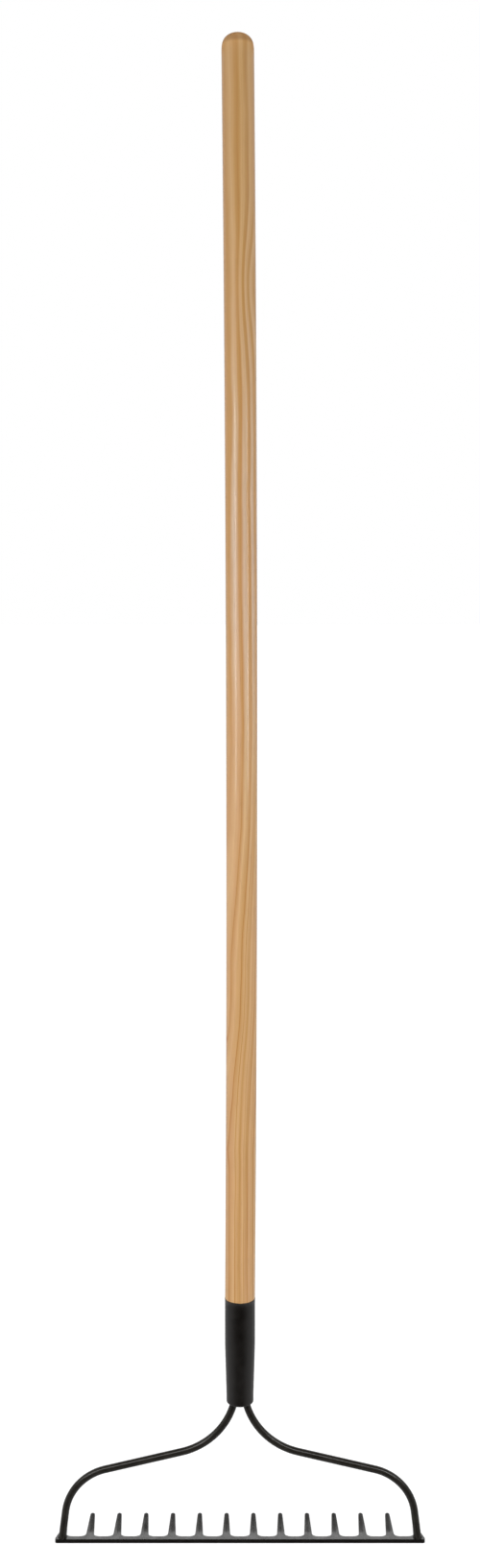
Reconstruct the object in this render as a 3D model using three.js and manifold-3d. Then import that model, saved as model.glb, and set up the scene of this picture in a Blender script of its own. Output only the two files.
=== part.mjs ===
// A bow rake: a straight ash handle in a tapered steel ferrule, two bent steel rods that run from the
// ferrule to the ends of a flat toothed bar, and the welds and the pin that hold them together.
// Millimetres. +Z runs up the handle, +Y is the way the tines point, and X runs along the bar.
// The origin is on the handle's axis, on the bar's underside.

import * as THREE from "three";
import { mergeVertices } from "three/addons/utils/BufferGeometryUtils.js";
import Module from "manifold-3d";

const wasm = await Module();
wasm.setup();

// ---- Driving dimensions ----

const INCH = 25.4;
const GAP = 0.3; // clearance between touching pieces

// Tine bar
const TINE_COUNT = 14;
const TINE_PITCH = 29.5;
const BAR_THICKNESS = 4.5; // at its plain back edge
const BAR_BACK_EDGE = -4; // its Y
const BAR_TOOTHED_EDGE = 2.5;
const BAR_OVERHANG = 7.2; // past the centre of the end tines
const BAR_CORNER_RADIUS = 2;
const TINE_REACH = 45.4; // from the handle's axis to the tips
const TINE_ROOT = { width: 8.5, thickness: 4, y: 12 };
const TINE_TIP = { width: 4.9, thickness: 3.2, rise: 3.1 }; // the tips point up a little
const TINE_FILLET = { along: 7.3, out: 5.8, hollow: 0.3 };
const FLANK_STEPS = 4;

// Bow rods
const ROD_DIAMETER = (5 / 16) * INCH;
const TANG_SPACING = ROD_DIAMETER + 0.4; // the two tangs lie side by side
const TANG_TOP = 252;
const TANG_POINT = { length: 6, diameter: 6.8, sunk: 0.1 };
const ROD_SUNK = 3; // how far the rods are drawn below the bar's top, before they are cut level
const TANG_BEND = { height: 116.3, radius: 76 }; // where the tang's line meets the shoulder's line
const SHOULDER_BEND = { x: 182.4, height: 73, radius: 57 };
const FOOT_X = 191.4; // at the bar's top face

// Ferrule
const FERRULE_BOTTOM = 159;
const FERRULE_LENGTH = 116;
const FERRULE_WALL = 1.2;
const FERRULE_DIAMETER = 31.9;
const FERRULE_LIP = { diameter: 32.3, height: 1.5 };
const FERRULE_TAPER = { below: 51.5, length: 56, diameter: 28.8 }; // it starts below the rim
const FERRULE_CORNER_RADIUS = 1.8;

// Handle
const HANDLE_LENGTH = 54 * INCH;
const HANDLE_DIAMETER = 1.25 * INCH;
const HANDLE_SEAT = 93; // how much of it is inside the ferrule
const HANDLE_CHAMFER = 2; // at its lower end
const HANDLE_DOME = { height: 24, power: 4.5, root: 1.8 }; // a superellipse rounds the upper end
const HANDLE_LEAN = 0.007; // slope at which the wood leaves the ferrule, towards +X
const HANDLE_CURVE = 6.9e-6; // how the wood bends back, per millimetre

// Pin and welds
const PIN = { below: 11, shank: 3.4, head: 7, headHeight: 2.2, length: 15, point: 4 };
const FOOT_WELD = { width: 1.1, height: 1.8, toe: 0.5, open: -2.4 }; // it is open in front of that Y
const TANG_WELD = { radius: 1.9, low: 163, high: 180 };

// ---- Dimensions that follow ----

const TINE_SPAN = (TINE_COUNT - 1) * TINE_PITCH;
const BAR_HALF = TINE_SPAN / 2 + BAR_OVERHANG;
const ROD_RADIUS = ROD_DIAMETER / 2;
const TANG_X = TANG_SPACING / 2;
const FERRULE_TOP = FERRULE_BOTTOM + FERRULE_LENGTH;
const TAPER_TOP = FERRULE_TOP - FERRULE_TAPER.below;
const TAPER_BOTTOM = TAPER_TOP - FERRULE_TAPER.length;
const HANDLE_BOTTOM = FERRULE_TOP - HANDLE_SEAT;
const HANDLE_TOP = HANDLE_BOTTOM + HANDLE_LENGTH;
const PIN_HEIGHT = FERRULE_TOP - PIN.below;

// ---- Colours ----

const blackPaint = { color: 0x23211f, roughness: 0.42, metalness: 0.1 };
const ashWood = { color: 0xc69c6b, roughness: 0.5, metalness: 0 };

// ---- Solids ----

const root = new THREE.Group();

function addMesh(name, geometry, look) {
  const mesh = new THREE.Mesh(geometry, new THREE.MeshStandardMaterial(look));
  mesh.name = name;
  root.add(mesh);
  return mesh;
}

function solidFrom(geometry) {
  const bare = geometry.clone();
  bare.deleteAttribute("normal");
  bare.deleteAttribute("uv");
  const merged = mergeVertices(bare, 1e-3);
  return new wasm.Manifold(
    new wasm.Mesh({
      numProp: 3,
      vertProperties: merged.attributes.position.array,
      triVerts: new Uint32Array(merged.index.array),
    }),
  );
}

function geometryFrom(solid) {
  const mesh = solid.getMesh();
  const geometry = new THREE.BufferGeometry();
  geometry.setAttribute("position", new THREE.BufferAttribute(mesh.vertProperties, 3));
  geometry.setIndex(new THREE.BufferAttribute(mesh.triVerts, 1));
  geometry.computeVertexNormals();
  return geometry;
}

// Moves every vertex of a geometry by a function of its place.
function warp(geometry, move) {
  const position = geometry.attributes.position;
  const point = new THREE.Vector3();
  for (let i = 0; i < position.count; i++) {
    move(point.fromBufferAttribute(position, i));
    position.setXYZ(i, point.x, point.y, point.z);
  }
  return geometry;
}

// A profile of [radius, height] points turned about the Z axis.
function turned(profile, segments) {
  const points = profile.map(([radius, height]) => new THREE.Vector2(radius, height));
  return new THREE.LatheGeometry(points, segments).rotateX(Math.PI / 2);
}

// The same about the Y axis, with heights counted along +Y.
function turnedAlongY(profile, segments) {
  const points = profile.map(([radius, height]) => new THREE.Vector2(radius, height));
  return new THREE.LatheGeometry(points, segments);
}

// Points of a quarter ellipse, from the side of a round piece (0) to its end (90 degrees).
function quarterEllipse(radius, height, steps, place) {
  return Array.from({ length: steps + 1 }, (_, i) => {
    const angle = (Math.PI / 2) * (i / steps);
    return place(radius * Math.cos(angle), height * Math.sin(angle));
  });
}

// How far a cutting shape stands out of the piece that it cuts.
const CLEAR = 5;

// An upright slot with round ends: two circles on the X axis, and the space between them.
function slot(centreX, radius, low, high) {
  const shape = new THREE.Shape();
  shape.absarc(centreX, 0, radius, -Math.PI / 2, Math.PI / 2);
  shape.absarc(-centreX, 0, radius, Math.PI / 2, (3 * Math.PI) / 2);
  const made = new THREE.ExtrudeGeometry(shape, {
    depth: high - low,
    bevelEnabled: false,
    curveSegments: 8,
  });
  return made.translate(0, 0, low);
}

// ---- Handle ----

// How far the wood's own bend carries the handle's centre sideways at a height.
function handleCentreX(height) {
  const above = Math.max(0, height - FERRULE_TOP);
  return HANDLE_LEAN * above - HANDLE_CURVE * above * above;
}

// The radius of the wood inside the ferrule, which follows the ferrule's inner wall.
function seatRadius(height) {
  return ferruleRadius(height) - FERRULE_WALL - GAP;
}

function handleGeometry() {
  const radius = HANDLE_DIAMETER / 2;
  const shoulder = FERRULE_TOP + GAP;
  const domeBase = HANDLE_TOP - HANDLE_DOME.height;
  const stations = 14;
  const shaft = Array.from({ length: stations }, (_, i) => {
    return [radius, THREE.MathUtils.lerp(shoulder, domeBase, i / stations)];
  });
  const domeSteps = 8;
  const dome = Array.from({ length: domeSteps + 1 }, (_, i) => {
    const rise = Math.sin((Math.PI / 2) * (i / domeSteps));
    const share = (1 - rise ** HANDLE_DOME.power) ** (1 / HANDLE_DOME.root);
    return [radius * share, domeBase + HANDLE_DOME.height * rise];
  });
  const profile = [
    [0, HANDLE_BOTTOM],
    [seatRadius(HANDLE_BOTTOM) - HANDLE_CHAMFER, HANDLE_BOTTOM],
    [seatRadius(HANDLE_BOTTOM), HANDLE_BOTTOM + HANDLE_CHAMFER],
    [seatRadius(TAPER_TOP), TAPER_TOP],
    [seatRadius(TAPER_TOP), shoulder],
    ...shaft,
    ...dome,
  ];
  const boreEnd = TANG_TOP + TANG_POINT.length + GAP;
  const tangBore = slot(TANG_X, ROD_RADIUS + GAP, HANDLE_BOTTOM - CLEAR, boreEnd);
  const solid = solidFrom(turned(profile, 32))
    .subtract(solidFrom(tangBore))
    .subtract(solidFrom(pinBore(PIN.length + GAP)));
  return warp(geometryFrom(solid), (p) => (p.x += handleCentreX(p.z)));
}

// ---- Ferrule ----

// The ferrule's outer radius at a height, without its lip and its rounded corner.
function ferruleRadius(height) {
  const narrow = FERRULE_TAPER.diameter / 2;
  const wide = FERRULE_DIAMETER / 2;
  const share = THREE.MathUtils.clamp((height - TAPER_BOTTOM) / FERRULE_TAPER.length, 0, 1);
  return THREE.MathUtils.lerp(narrow, wide, share);
}

// The ferrule's wall, as its outer or its inner profile, from the axis to just under the rim.
function ferruleWall(inset, bottom) {
  const low = ferruleRadius(bottom) - inset;
  const corner = FERRULE_CORNER_RADIUS - inset;
  const round = quarterEllipse(corner, corner, 3, (r, h) => [
    low - corner + r,
    bottom + corner - h,
  ]).reverse();
  return [
    [0, bottom],
    ...round,
    [low, TAPER_BOTTOM],
    [ferruleRadius(TAPER_TOP) - inset, TAPER_TOP],
    [ferruleRadius(FERRULE_TOP) - inset, FERRULE_TOP - FERRULE_LIP.height],
  ];
}

// The hole for the pin, from a depth inside the ferrule's outer face to well outside it.
function pinBore(depth) {
  const radius = PIN.shank / 2 + GAP;
  const bore = new THREE.CylinderGeometry(radius, radius, depth + CLEAR, 16);
  return bore.translate(0, FERRULE_DIAMETER / 2 + (CLEAR - depth) / 2, PIN_HEIGHT);
}

function ferruleGeometry() {
  const outer = ferruleWall(0, FERRULE_BOTTOM);
  const inner = ferruleWall(FERRULE_WALL, FERRULE_BOTTOM + FERRULE_WALL);
  const rim = [
    [FERRULE_LIP.diameter / 2, FERRULE_TOP],
    [FERRULE_DIAMETER / 2 - FERRULE_WALL, FERRULE_TOP],
  ];
  const cup = turned([...outer, ...rim, ...inner.slice(0, -1).reverse()], 48);
  const centreX = (rodCentreX(FERRULE_BOTTOM) + rodCentreX(FERRULE_BOTTOM + FERRULE_WALL)) / 2;
  const rodHole = slot(
    centreX,
    ROD_RADIUS + 2 * GAP,
    FERRULE_BOTTOM - CLEAR,
    FERRULE_BOTTOM + FERRULE_WALL + GAP,
  );
  return geometryFrom(
    solidFrom(cup)
      .subtract(solidFrom(rodHole))
      .subtract(solidFrom(pinBore(2 * FERRULE_WALL))),
  );
}

// ---- Bow rods ----

// A circular arc in the XZ plane, between two angles about its centre.
class BendArc extends THREE.Curve {
  constructor(centre, radius, from, to) {
    super();
    Object.assign(this, { centre, radius, from, to });
  }
  getPoint(t, target = new THREE.Vector3()) {
    const angle = this.from + (this.to - this.from) * t;
    const x = this.centre.x + this.radius * Math.cos(angle);
    return target.set(x, 0, this.centre.z + this.radius * Math.sin(angle));
  }
}

// Rounds the corner at b, on the way from a to c, with an arc of that radius.
function bend(a, b, c, radius) {
  const back = a.clone().sub(b).normalize();
  const on = c.clone().sub(b).normalize();
  const half = back.angleTo(on) / 2;
  const start = b.clone().addScaledVector(back, radius / Math.tan(half));
  const end = b.clone().addScaledVector(on, radius / Math.tan(half));
  const centre = b.clone().addScaledVector(back.add(on).normalize(), radius / Math.sin(half));
  const from = Math.atan2(start.z - centre.z, start.x - centre.x);
  let sweep = Math.atan2(end.z - centre.z, end.x - centre.x) - from;
  if (sweep > Math.PI) sweep -= 2 * Math.PI;
  if (sweep < -Math.PI) sweep += 2 * Math.PI;
  return { start, end, arc: new BendArc(centre, radius, from, from + sweep) };
}

// Where the rods' centre lines are at a height within the bend below the tangs.
function rodCentreX(height) {
  const turn = Math.atan2(TANG_BEND.height - SHOULDER_BEND.height, SHOULDER_BEND.x - TANG_X);
  const bendTop = TANG_BEND.height + TANG_BEND.radius * Math.tan((Math.PI / 2 - turn) / 2);
  const share = Math.max(0, bendTop - height) / TANG_BEND.radius;
  return TANG_X + TANG_BEND.radius * (1 - Math.sqrt(1 - share * share));
}

// The centre line of a rod, from its tang down to a little below the bar's top face.
function rodPath(side) {
  const at = (x, z) => new THREE.Vector3(side * x, 0, z);
  const tang = at(TANG_X, TANG_TOP);
  const neck = at(TANG_X, TANG_BEND.height);
  const shoulder = at(SHOULDER_BEND.x, SHOULDER_BEND.height);
  const foot = at(FOOT_X, BAR_THICKNESS);
  const below = foot.clone().add(foot.clone().sub(shoulder).setLength(ROD_SUNK));
  const upper = bend(tang, neck, shoulder, TANG_BEND.radius);
  const lower = bend(neck, shoulder, foot, SHOULDER_BEND.radius);
  const path = new THREE.CurvePath();
  path.add(new THREE.LineCurve3(tang, upper.start));
  path.add(upper.arc);
  path.add(new THREE.LineCurve3(upper.end, lower.start));
  path.add(lower.arc);
  path.add(new THREE.LineCurve3(lower.end, below));
  return path;
}

function rodGeometry(side) {
  const section = new THREE.Shape().absarc(0, 0, ROD_RADIUS, 0, 2 * Math.PI);
  const rod = new THREE.ExtrudeGeometry(section, {
    extrudePath: rodPath(side),
    steps: 64,
    curveSegments: 7,
  });
  const point = new THREE.ConeGeometry(TANG_POINT.diameter / 2, TANG_POINT.length, 14);
  const pointHeight = TANG_TOP - TANG_POINT.sunk + TANG_POINT.length / 2;
  point.rotateX(Math.PI / 2).translate(side * TANG_X, 0, pointHeight);
  return geometryFrom(solidFrom(rod).add(solidFrom(point)).subtract(solidFrom(underBar())));
}

// Everything below the seat of the rods and welds on the bar.
function underBar() {
  const height = 20;
  const margin = 20;
  const block = new THREE.BoxGeometry(2 * (BAR_HALF + margin), 2 * margin, height);
  return block.translate(0, 0, BAR_THICKNESS + GAP - height / 2);
}

// ---- Tine bar ----

const TIP_CENTRE = TINE_REACH - TINE_TIP.width / 2;
const FILLET_END = BAR_TOOTHED_EDGE + TINE_FILLET.out;

// The bar and its tines seen from above, drawn anticlockwise from the back left corner.
function tineBarOutline() {
  const shape = new THREE.Shape();
  const radius = BAR_CORNER_RADIUS;
  const rootHalf = TINE_ROOT.width / 2;
  const tipHalf = TINE_TIP.width / 2;
  const flank = (centre, side, share) => {
    const half = THREE.MathUtils.lerp(rootHalf, tipHalf, share);
    shape.lineTo(centre + side * half, THREE.MathUtils.lerp(FILLET_END, TIP_CENTRE, share));
  };
  shape.moveTo(-BAR_HALF + radius, BAR_BACK_EDGE);
  shape.lineTo(BAR_HALF - radius, BAR_BACK_EDGE);
  shape.absarc(BAR_HALF - radius, BAR_BACK_EDGE + radius, radius, -Math.PI / 2, 0);
  for (let i = TINE_COUNT - 1; i >= 0; i--) {
    const centre = -TINE_SPAN / 2 + i * TINE_PITCH;
    const right = centre + rootHalf;
    const left = centre - rootHalf;
    if (i < TINE_COUNT - 1) {
      shape.lineTo(right + TINE_FILLET.along, BAR_TOOTHED_EDGE);
      shape.quadraticCurveTo(right + TINE_FILLET.hollow, BAR_TOOTHED_EDGE, right, FILLET_END);
    } else {
      flank(centre, 1, 0);
    }
    for (let k = 1; k <= FLANK_STEPS; k++) flank(centre, 1, k / FLANK_STEPS);
    shape.absarc(centre, TIP_CENTRE, tipHalf, 0, Math.PI);
    for (let k = FLANK_STEPS - 1; k >= 0; k--) flank(centre, -1, k / FLANK_STEPS);
    if (i > 0) {
      const far = left - TINE_FILLET.along;
      shape.quadraticCurveTo(left - TINE_FILLET.hollow, BAR_TOOTHED_EDGE, far, BAR_TOOTHED_EDGE);
    }
  }
  shape.lineTo(-BAR_HALF, BAR_BACK_EDGE + radius);
  shape.absarc(-BAR_HALF + radius, BAR_BACK_EDGE + radius, radius, Math.PI, (3 * Math.PI) / 2);
  return shape;
}

// Thins the plate from its back edge to the tips, and tilts the tines up.
function shapePlate(point) {
  const { lerp, clamp } = THREE.MathUtils;
  const across = clamp((point.y - BAR_BACK_EDGE) / (TINE_ROOT.y - BAR_BACK_EDGE), 0, 1);
  const along = clamp((point.y - TINE_ROOT.y) / (TINE_REACH - TINE_ROOT.y), 0, 1);
  const tilted = clamp((point.y - FILLET_END) / (TINE_REACH - FILLET_END), 0, 1);
  const thickness =
    lerp(BAR_THICKNESS, TINE_ROOT.thickness, across) +
    lerp(0, TINE_TIP.thickness - TINE_ROOT.thickness, along);
  point.z = (point.z / BAR_THICKNESS) * thickness + TINE_TIP.rise * tilted;
}

function tineBarGeometry() {
  const plate = new THREE.ExtrudeGeometry(tineBarOutline(), {
    depth: BAR_THICKNESS,
    bevelEnabled: false,
    curveSegments: 4,
  });
  return warp(plate, shapePlate);
}

// ---- Welds and pin ----

// The fillet of weld round a rod's foot, on the bar: a ring that is open at the bar's back edge.
function footWeldGeometry(side) {
  const inner = ROD_RADIUS + GAP;
  const outer = inner + FOOT_WELD.width;
  const lean = Math.atan2(FOOT_X - SHOULDER_BEND.x, SHOULDER_BEND.height - BAR_THICKNESS);
  const under = -FOOT_WELD.height;
  const profile = [
    [inner, under],
    [outer, under],
    [outer, FOOT_WELD.toe],
    [inner + FOOT_WELD.width / 2, (FOOT_WELD.toe + FOOT_WELD.height) / 2],
    [inner, FOOT_WELD.height],
    [inner, under],
  ];
  const bead = turned(profile, 24);
  bead.rotateY(-side * lean).translate(side * FOOT_X, 0, BAR_THICKNESS + GAP);
  const front = new THREE.BoxGeometry(4 * outer, 2 * outer, 4 * outer);
  front.translate(side * FOOT_X, FOOT_WELD.open - outer, BAR_THICKNESS);
  return geometryFrom(
    solidFrom(bead).subtract(solidFrom(underBar())).subtract(solidFrom(front)),
  );
}

// A run of weld in the groove between the two tangs, inside the ferrule.
function tangWeldGeometry(face) {
  const clear = ROD_RADIUS + GAP + TANG_WELD.radius;
  const depth = Math.sqrt(clear * clear - TANG_X * TANG_X);
  const bead = new THREE.CapsuleGeometry(
    TANG_WELD.radius,
    TANG_WELD.high - TANG_WELD.low - 2 * TANG_WELD.radius,
    3,
    12,
  );
  bead.rotateX(Math.PI / 2);
  return bead.translate(0, face * depth, (TANG_WELD.low + TANG_WELD.high) / 2);
}

// The pin that holds the ferrule on the wood, driven in from the back.
function pinGeometry() {
  const seat = FERRULE_DIAMETER / 2 + GAP;
  const shank = PIN.shank / 2;
  const head = quarterEllipse(PIN.head / 2, PIN.headHeight, 5, (r, h) => [r, seat + h]);
  head[head.length - 1][0] = 0;
  const profile = [
    [0, seat - PIN.length],
    [shank, seat - PIN.length + PIN.point],
    [shank, seat],
    ...head,
  ];
  return turnedAlongY(profile, 20).translate(0, 0, PIN_HEIGHT);
}

// ---- The rake ----

addMesh("handle", handleGeometry(), ashWood);
addMesh("ferrule", ferruleGeometry(), blackPaint);
addMesh("ferrule_pin", pinGeometry(), blackPaint);
addMesh("tine_bar", tineBarGeometry(), blackPaint);
for (const [name, side] of [
  ["left", -1],
  ["right", 1],
]) {
  addMesh("bow_rod_" + name, rodGeometry(side), blackPaint);
  addMesh("bow_weld_" + name, footWeldGeometry(side), blackPaint);
}
for (const [name, face] of [
  ["front", -1],
  ["back", 1],
]) {
  addMesh("tang_weld_" + name, tangWeldGeometry(face), blackPaint);
}

export default root;
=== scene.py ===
"""A bow rake for Blender 4.5: an ash handle, a painted ferrule, two bent rods and a toothed bar.

Metres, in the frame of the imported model: +Z runs up the handle, +Y is the way the tines point
and X runs along the bar.
"""

import math

import bmesh
import bpy
from mathutils import Matrix, Vector, noise


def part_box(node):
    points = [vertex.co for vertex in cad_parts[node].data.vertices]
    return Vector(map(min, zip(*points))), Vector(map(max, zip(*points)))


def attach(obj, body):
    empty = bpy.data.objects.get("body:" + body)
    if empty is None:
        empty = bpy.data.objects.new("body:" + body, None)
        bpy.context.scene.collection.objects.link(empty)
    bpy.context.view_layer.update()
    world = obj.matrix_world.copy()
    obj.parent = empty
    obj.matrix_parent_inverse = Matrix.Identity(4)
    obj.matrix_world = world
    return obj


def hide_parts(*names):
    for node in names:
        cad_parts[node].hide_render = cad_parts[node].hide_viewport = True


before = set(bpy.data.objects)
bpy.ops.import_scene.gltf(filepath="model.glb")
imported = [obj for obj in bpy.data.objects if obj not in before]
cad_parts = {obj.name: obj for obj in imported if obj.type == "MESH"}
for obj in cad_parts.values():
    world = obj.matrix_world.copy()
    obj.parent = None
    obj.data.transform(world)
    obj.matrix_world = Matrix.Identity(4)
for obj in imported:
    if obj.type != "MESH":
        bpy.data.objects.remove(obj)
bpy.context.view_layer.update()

scene = bpy.context.scene
MM = 0.001

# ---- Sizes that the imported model's boxes give ----

BAR_LOW, BAR_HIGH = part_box("tine_bar")
FERRULE_LOW, FERRULE_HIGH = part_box("ferrule")
HANDLE_LOW, HANDLE_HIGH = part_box("handle")
_, ROD_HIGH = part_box("bow_rod_right")
PIN_LOW, PIN_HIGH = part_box("ferrule_pin")
_, WELD_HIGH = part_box("bow_weld_right")
TANG_WELD_LOW, TANG_WELD_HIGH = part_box("tang_weld_back")

# ---- Driving sizes of the shapes ----

TINE_COUNT = 14
BAR_OVERHANG = 7.2 * MM  # past the centre of the end tines
BAR_THICKNESS = 4.5 * MM
BAR_TOOTHED_EDGE = 2.5 * MM
BAR_CORNER_RADIUS = 2 * MM
BAR_EDGE_ROUND = 0.5 * MM
TINE_ROOT_WIDTH = 8.5 * MM
TINE_ROOT_THICKNESS = 4 * MM
TINE_ROOT_Y = 12 * MM
TINE_TIP_WIDTH = 4.9 * MM
TINE_TIP_THICKNESS = 3.2 * MM
TINE_TIP_RISE = 3.1 * MM
TINE_RISE_POWER = 1.15  # above 1, so that a tine bends up more towards its tip
TINE_CROWN = 0.9 * MM  # how much lower a tine's top is at its flanks
FILLET_ALONG = 7.3 * MM
FILLET_OUT = 5.8 * MM
FILLET_LEAN = 0.3 * MM  # from a tine's flank to the control point of its fillet

ROD_RADIUS = 25.4 * MM * 5 / 32
TANG_X = ROD_RADIUS + 0.2 * MM
TANG_TOP = 252 * MM
TANG_BEND_HEIGHT = 116.3 * MM
TANG_BEND_RADIUS = 76 * MM
# The tang's blunt point, as shares of its length and of the rod's radius, from the tip down
TANG_POINT = ((1.0, 0.0), (0.97, 0.12), (0.85, 0.3), (0.5, 0.62), (0.12, 0.93), (0.03, 0.985))
SHOULDER_BEND_X = 182.4 * MM
SHOULDER_BEND_HEIGHT = 73 * MM
SHOULDER_BEND_RADIUS = 57 * MM
FOOT_X = 191.4 * MM

FERRULE_WALL = 1.2 * MM
FERRULE_RADIUS = 15.95 * MM
FERRULE_NARROW_RADIUS = 14.4 * MM
FERRULE_TAPER_BELOW = 51.5 * MM
FERRULE_TAPER_LENGTH = 56 * MM
FERRULE_CORNER_RADIUS = 1.8 * MM
FERRULE_LIP_HEIGHT = 1.6 * MM
ROD_HOLE_PLAY = 0.45 * MM
PIN_BORE_PLAY = 0.05 * MM

HANDLE_CHAMFER = 2 * MM
HANDLE_DOME = 24 * MM
DOME_POWERS = (4.5, 1.8)  # of the superellipse that the rounded end follows
HANDLE_LEAN = 0.007  # to the right, per metre of height above the ferrule
HANDLE_CURVE = 6.9e-3  # back to the left, per square metre
HANDLE_PLAY = 0.02 * MM  # between the wood and the ferrule's inside
TANG_BORE_PLAY = 0.1 * MM

PIN_SHANK_RADIUS = 1.7 * MM
PIN_POINT = 4 * MM

# ---- Sizes that follow ----

BAR_HALF = BAR_HIGH.x
BAR_BACK_EDGE = BAR_LOW.y
TINE_REACH = BAR_HIGH.y
TINE_SPAN = 2 * (BAR_HALF - BAR_OVERHANG)
TINE_PITCH = TINE_SPAN / (TINE_COUNT - 1)
TIP_CENTRE = TINE_REACH - TINE_TIP_WIDTH / 2
FILLET_END = BAR_TOOTHED_EDGE + FILLET_OUT
FERRULE_BOTTOM = FERRULE_LOW.z
FERRULE_TOP = FERRULE_HIGH.z
TAPER_TOP = FERRULE_TOP - FERRULE_TAPER_BELOW
TAPER_BOTTOM = TAPER_TOP - FERRULE_TAPER_LENGTH
HANDLE_RADIUS = HANDLE_HIGH.y
HANDLE_BOTTOM = HANDLE_LOW.z
HANDLE_TOP = HANDLE_HIGH.z
PIN_HEIGHT = (PIN_LOW.z + PIN_HIGH.z) / 2

SHELL_SEGMENTS = 96  # round the handle and the ferrule
POINT_RADIUS = 1e-7  # a ring narrower than this is one vertex


def lerp(a, b, share):
    return a + (b - a) * share


def clamp(value, low=0.0, high=1.0):
    return max(low, min(high, value))


# ---- Mesh helpers ----


def add_object(name, bm, smooth=True):
    """A new object from a bmesh, with its faces turned outwards."""
    bmesh.ops.recalc_face_normals(bm, faces=bm.faces)
    mesh = bpy.data.meshes.new(name)
    bm.to_mesh(mesh)
    bm.free()
    obj = bpy.data.objects.new(name, mesh)
    scene.collection.objects.link(obj)
    if smooth:
        mesh.shade_smooth()
    return obj


def join_rings(bm, rings):
    """Faces between neighbouring rings of vertices. A ring of one vertex is a point."""
    for a, b in zip(rings, rings[1:]):
        count = max(len(a), len(b))
        for i in range(count):
            j = (i + 1) % count
            corners = [a[i % len(a)], a[j % len(a)], b[j % len(b)], b[i % len(b)]]
            unique = list(dict.fromkeys(corners))
            if len(unique) > 2:
                bm.faces.new(unique)


def lathe(profile, segments, placing=None):
    """A bmesh of a (radius, height) profile turned about Z, and then put in place by a matrix."""
    bm = bmesh.new()
    turns = [2 * math.pi * k / segments for k in range(segments)]
    rings = []
    for radius, height in profile:
        if radius < POINT_RADIUS:
            rings.append([bm.verts.new((0, 0, height))])
        else:
            places = [(radius * math.cos(t), radius * math.sin(t), height) for t in turns]
            rings.append([bm.verts.new(place) for place in places])
    join_rings(bm, rings)
    if placing:
        bm.transform(placing)
    return bm


def arc_points(centre, radius, start, end, steps):
    """(radius, height) points on an arc, with angles in degrees from the radius axis."""
    points = []
    for k in range(steps + 1):
        angle = math.radians(lerp(start, end, k / steps))
        points.append((centre[0] + radius * math.cos(angle), centre[1] + radius * math.sin(angle)))
    return points


def line_points(start, end, steps):
    """Points on a line, with its start and without its end."""
    shares = [k / steps for k in range(steps)]
    return [(lerp(start[0], end[0], share), lerp(start[1], end[1], share)) for share in shares]


def stadium(centre_x, radius, low, high, steps=24):
    """A solid upright slot: two round ends on the X axis, and the space between them."""
    bm = bmesh.new()
    outline = []
    for k in range(steps + 1):
        angle = -math.pi / 2 + math.pi * k / steps
        outline.append((centre_x + radius * math.cos(angle), radius * math.sin(angle)))
    outline += [(-x, -y) for x, y in outline]
    rings = [[bm.verts.new((x, y, z)) for x, y in outline] for z in (low, high)]
    join_rings(bm, rings)
    bm.faces.new(rings[0])
    bm.faces.new(rings[1])
    return bm


def cut(obj, *cutters):
    """Subtracts other objects from this one and removes them, and then closes up needle faces."""
    for cutter in cutters:
        modifier = obj.modifiers.new("cut", "BOOLEAN")
        modifier.operation = "DIFFERENCE"
        modifier.solver = "EXACT"
        modifier.object = cutter
    apply_modifiers(obj)
    for cutter in cutters:
        bpy.data.objects.remove(cutter)
    bm = bmesh.new()
    bm.from_mesh(obj.data)
    bmesh.ops.dissolve_degenerate(bm, dist=0.001 * MM, edges=bm.edges)
    bm.to_mesh(obj.data)
    bm.free()


def apply_modifiers(obj):
    """Puts what the modifiers make into the object's own mesh."""
    graph = bpy.context.evaluated_depsgraph_get()
    made = bpy.data.meshes.new_from_object(obj.evaluated_get(graph))
    obj.modifiers.clear()
    old = obj.data
    obj.data = made
    made.name = obj.name
    bpy.data.meshes.remove(old)


def sharpen(obj, degrees):
    """Marks as sharp the edges where faces meet at more than an angle."""
    obj.data.set_sharp_from_angle(angle=math.radians(degrees))


def even_normals(obj):
    """Keeps flat faces flat beside rounded edges."""
    modifier = obj.modifiers.new("normals", "WEIGHTED_NORMAL")
    modifier.keep_sharp = True
    modifier.weight = 100


# ---- Handle ----


def handle_centre_x(height):
    """How far the wood's own bend carries its centre sideways at a height."""
    above = max(0.0, height - FERRULE_TOP)
    return HANDLE_LEAN * above - HANDLE_CURVE * above * above


def ferrule_radius(height):
    """The ferrule's outer radius, without its lip and its rounded corner."""
    share = clamp((height - TAPER_BOTTOM) / FERRULE_TAPER_LENGTH)
    return lerp(FERRULE_NARROW_RADIUS, FERRULE_RADIUS, share)


def seat_radius(height):
    """The wood's radius inside the ferrule, where the two touch but for a hair."""
    return ferrule_radius(height) - FERRULE_WALL - HANDLE_PLAY


def dome_radius(rise):
    """The radius of the rounded end at a share of its height."""
    upper, outer = DOME_POWERS
    return HANDLE_RADIUS * max(0.0, 1 - rise**upper) ** (1 / outer)


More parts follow.
